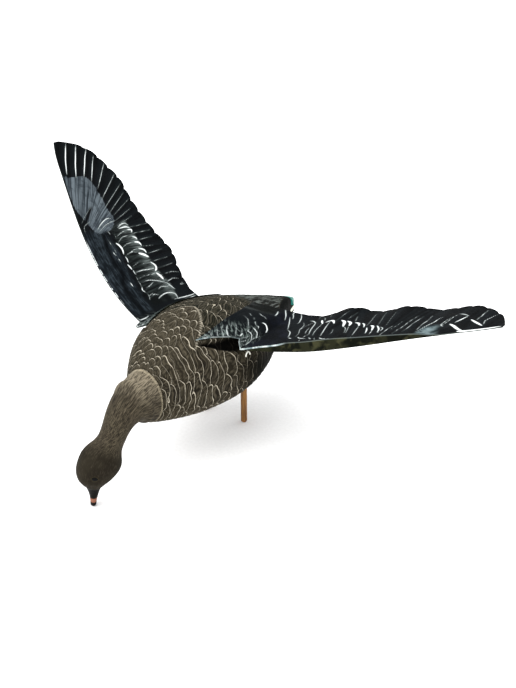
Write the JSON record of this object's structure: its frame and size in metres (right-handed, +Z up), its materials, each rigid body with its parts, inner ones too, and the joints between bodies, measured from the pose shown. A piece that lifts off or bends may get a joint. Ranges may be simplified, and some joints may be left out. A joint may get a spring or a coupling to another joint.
{
  "type": "goose decoy",
  "caption": "Life-size feeding goose decoy standing on pegs with its bill to the ground and its printed cloth wings spread.",
  "frame": {"origin": "on the ground below the middle of the whole decoy's bounding box", "axes": "+X towards the tip of the goose's left wing, -Y the way the goose heads, +Z up"},
  "size_m": [0.9428, 0.6308, 0.4614],
  "materials": {
    "body_paint": "moulded feathers, painted olive brown with pale beige edges, matt",
    "neck_paint": "moulded and painted brown, fine hair-like texture, black bill with a salmon band",
    "wing_cloth": "printed woven polyester, navy black with grey and white feathers",
    "peg_wood": "orange-brown varnished dowel",
    "tie_cord": "white braided cord",
    "tail_cap": "teal moulded plastic"
  },
  "bodies": {
    "root": {"body": "body_paint", "head_and_neck": "neck_paint", "wing_left": "wing_cloth", "wing_right": "wing_cloth", "peg_left": "peg_wood", "peg_right": "peg_wood", "wing_tie_left": "tie_cord", "tail_cap": "tail_cap"}
  },
  "joints": []
}
